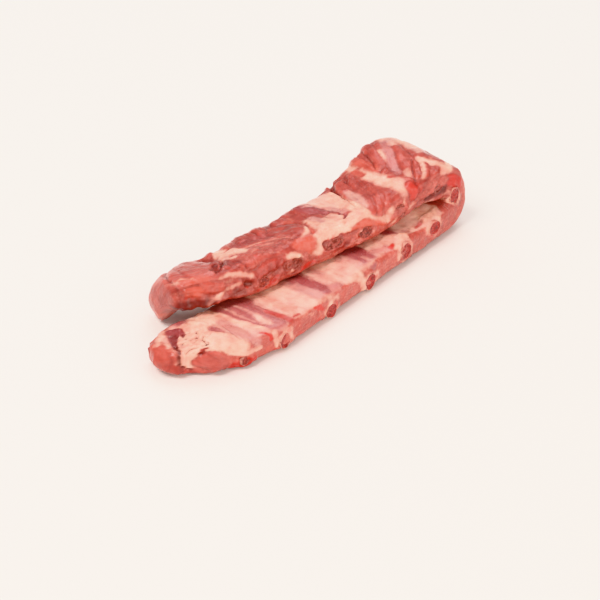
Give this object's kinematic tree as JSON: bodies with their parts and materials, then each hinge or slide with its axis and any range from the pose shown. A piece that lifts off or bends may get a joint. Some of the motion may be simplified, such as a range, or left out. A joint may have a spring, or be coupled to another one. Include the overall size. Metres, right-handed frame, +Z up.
{
  "type": "raw pork rib strip",
  "caption": "Strip of raw pork ribs sawn along both edges, folded once and laid back over itself, with rib bones showing at the cut edges.",
  "frame": {"origin": "middle of the bounding box, at the level it rests on", "axes": "+X along the lower arm, from the two free ends towards the fold; +Y across the strip, from the sawn edge that faces the viewer towards the far edge; +Z up"},
  "size_m": [0.2661, 0.0932, 0.051],
  "materials": {
    "raw_pork": "raw lean pork with fat and membrane, moist and softly glossy",
    "sawn_rib_bone": "freshly sawn rib bone with red marrow, moist satin"
  },
  "bodies": {
    "root": {"meat": "raw_pork", "rib_bone_01": "sawn_rib_bone", "rib_bone_02": "sawn_rib_bone", "rib_bone_03": "sawn_rib_bone", "rib_bone_04": "sawn_rib_bone", "rib_bone_05": "sawn_rib_bone", "rib_bone_06": "sawn_rib_bone", "rib_bone_07": "sawn_rib_bone", "rib_bone_08": "sawn_rib_bone", "rib_bone_09": "sawn_rib_bone", "rib_bone_10": "sawn_rib_bone", "rib_bone_11": "sawn_rib_bone", "rib_bone_12": "sawn_rib_bone", "rib_bone_13": "sawn_rib_bone"}
  },
  "joints": []
}
